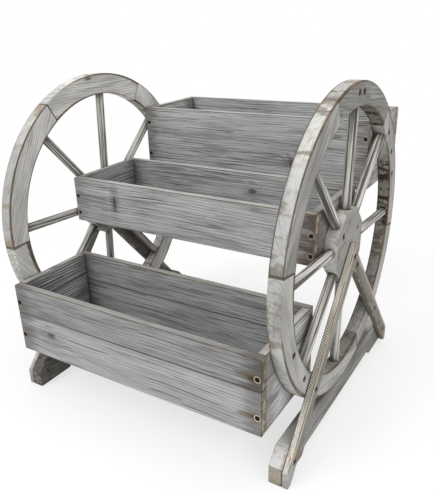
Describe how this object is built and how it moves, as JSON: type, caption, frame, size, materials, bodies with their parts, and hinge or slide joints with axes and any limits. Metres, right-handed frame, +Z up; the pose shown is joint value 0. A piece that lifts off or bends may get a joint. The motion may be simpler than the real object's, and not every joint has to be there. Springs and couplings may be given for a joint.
{
  "type": "flower cart stand",
  "caption": "Flower cart stand: open planter boxes climb in steps between upright wooden wagon wheels, each cradled in a floor runner and braced by straps from its hub",
  "frame": {"origin": "on the floor, under the middle of the overall bounding box", "axes": "X across the stand along the boxes and the wheel axis; Y from the front, where the low box is, to the back, where the top box is; Z up"},
  "size_m": [0.648, 0.685, 0.656],
  "materials": {
    "rim_wood": "whitewashed and weathered, worn through to bare tan wood on the edges",
    "spoke_wood": "whitewashed round dowel, weathered",
    "hub_wood": "whitewashed and weathered, pale worn edges",
    "runner_wood": "whitewashed and weathered, darker near the floor",
    "leg_wood": "whitewashed strap with a saw-marked, tan narrow edge",
    "box_wood": "whitewashed boards with open grey grain, knots and splits",
    "blackened_steel": "blackened plain steel"
  },
  "bodies": {
    "root": {"box_nails": "blackened_steel", "left_felloe_1": "rim_wood", "left_felloe_2": "rim_wood", "left_felloe_3": "rim_wood", "left_felloe_4": "rim_wood", "left_felloe_5": "rim_wood", "left_felloe_6": "rim_wood", "left_front_leg": "leg_wood", "left_hub": "hub_wood", "left_rear_leg": "leg_wood", "left_runner": "runner_wood", "left_spoke_1": "spoke_wood", "left_spoke_2": "spoke_wood", "left_spoke_3": "spoke_wood", "left_spoke_4": "spoke_wood", "left_spoke_5": "spoke_wood", "left_spoke_6": "spoke_wood", "left_spoke_7": "spoke_wood", "left_spoke_8": "spoke_wood", "low_back_board_lower": "box_wood", "low_back_board_upper": "box_wood", "low_bottom_back": "box_wood", "low_bottom_front": "box_wood", "low_front_board_lower": "box_wood", "low_front_board_upper": "box_wood", "low_left_side_lower": "box_wood", "low_left_side_upper": "box_wood", "low_right_side_lower": "box_wood", "low_right_side_upper": "box_wood", "middle_back_board": "box_wood", "middle_bottom_back": "box_wood", "middle_bottom_front": "box_wood", "middle_front_board": "box_wood", "middle_left_side": "box_wood", "middle_right_side": "box_wood", "right_felloe_1": "rim_wood", "right_felloe_2": "rim_wood", "right_felloe_3": "rim_wood", "right_felloe_4": "rim_wood", "right_felloe_5": "rim_wood", "right_felloe_6": "rim_wood", "right_front_leg": "leg_wood", "right_hub": "hub_wood", "right_rear_leg": "leg_wood", "right_runner": "runner_wood", "right_spoke_1": "spoke_wood", "right_spoke_2": "spoke_wood", "right_spoke_3": "spoke_wood", "right_spoke_4": "spoke_wood", "right_spoke_5": "spoke_wood", "right_spoke_6": "spoke_wood", "right_spoke_7": "spoke_wood", "right_spoke_8": "spoke_wood", "top_back_board": "box_wood", "top_bottom_back": "box_wood", "top_bottom_front": "box_wood", "top_front_board": "box_wood", "top_left_side": "box_wood", "top_right_side": "box_wood", "wheel_nails": "blackened_steel"}
  },
  "joints": []
}
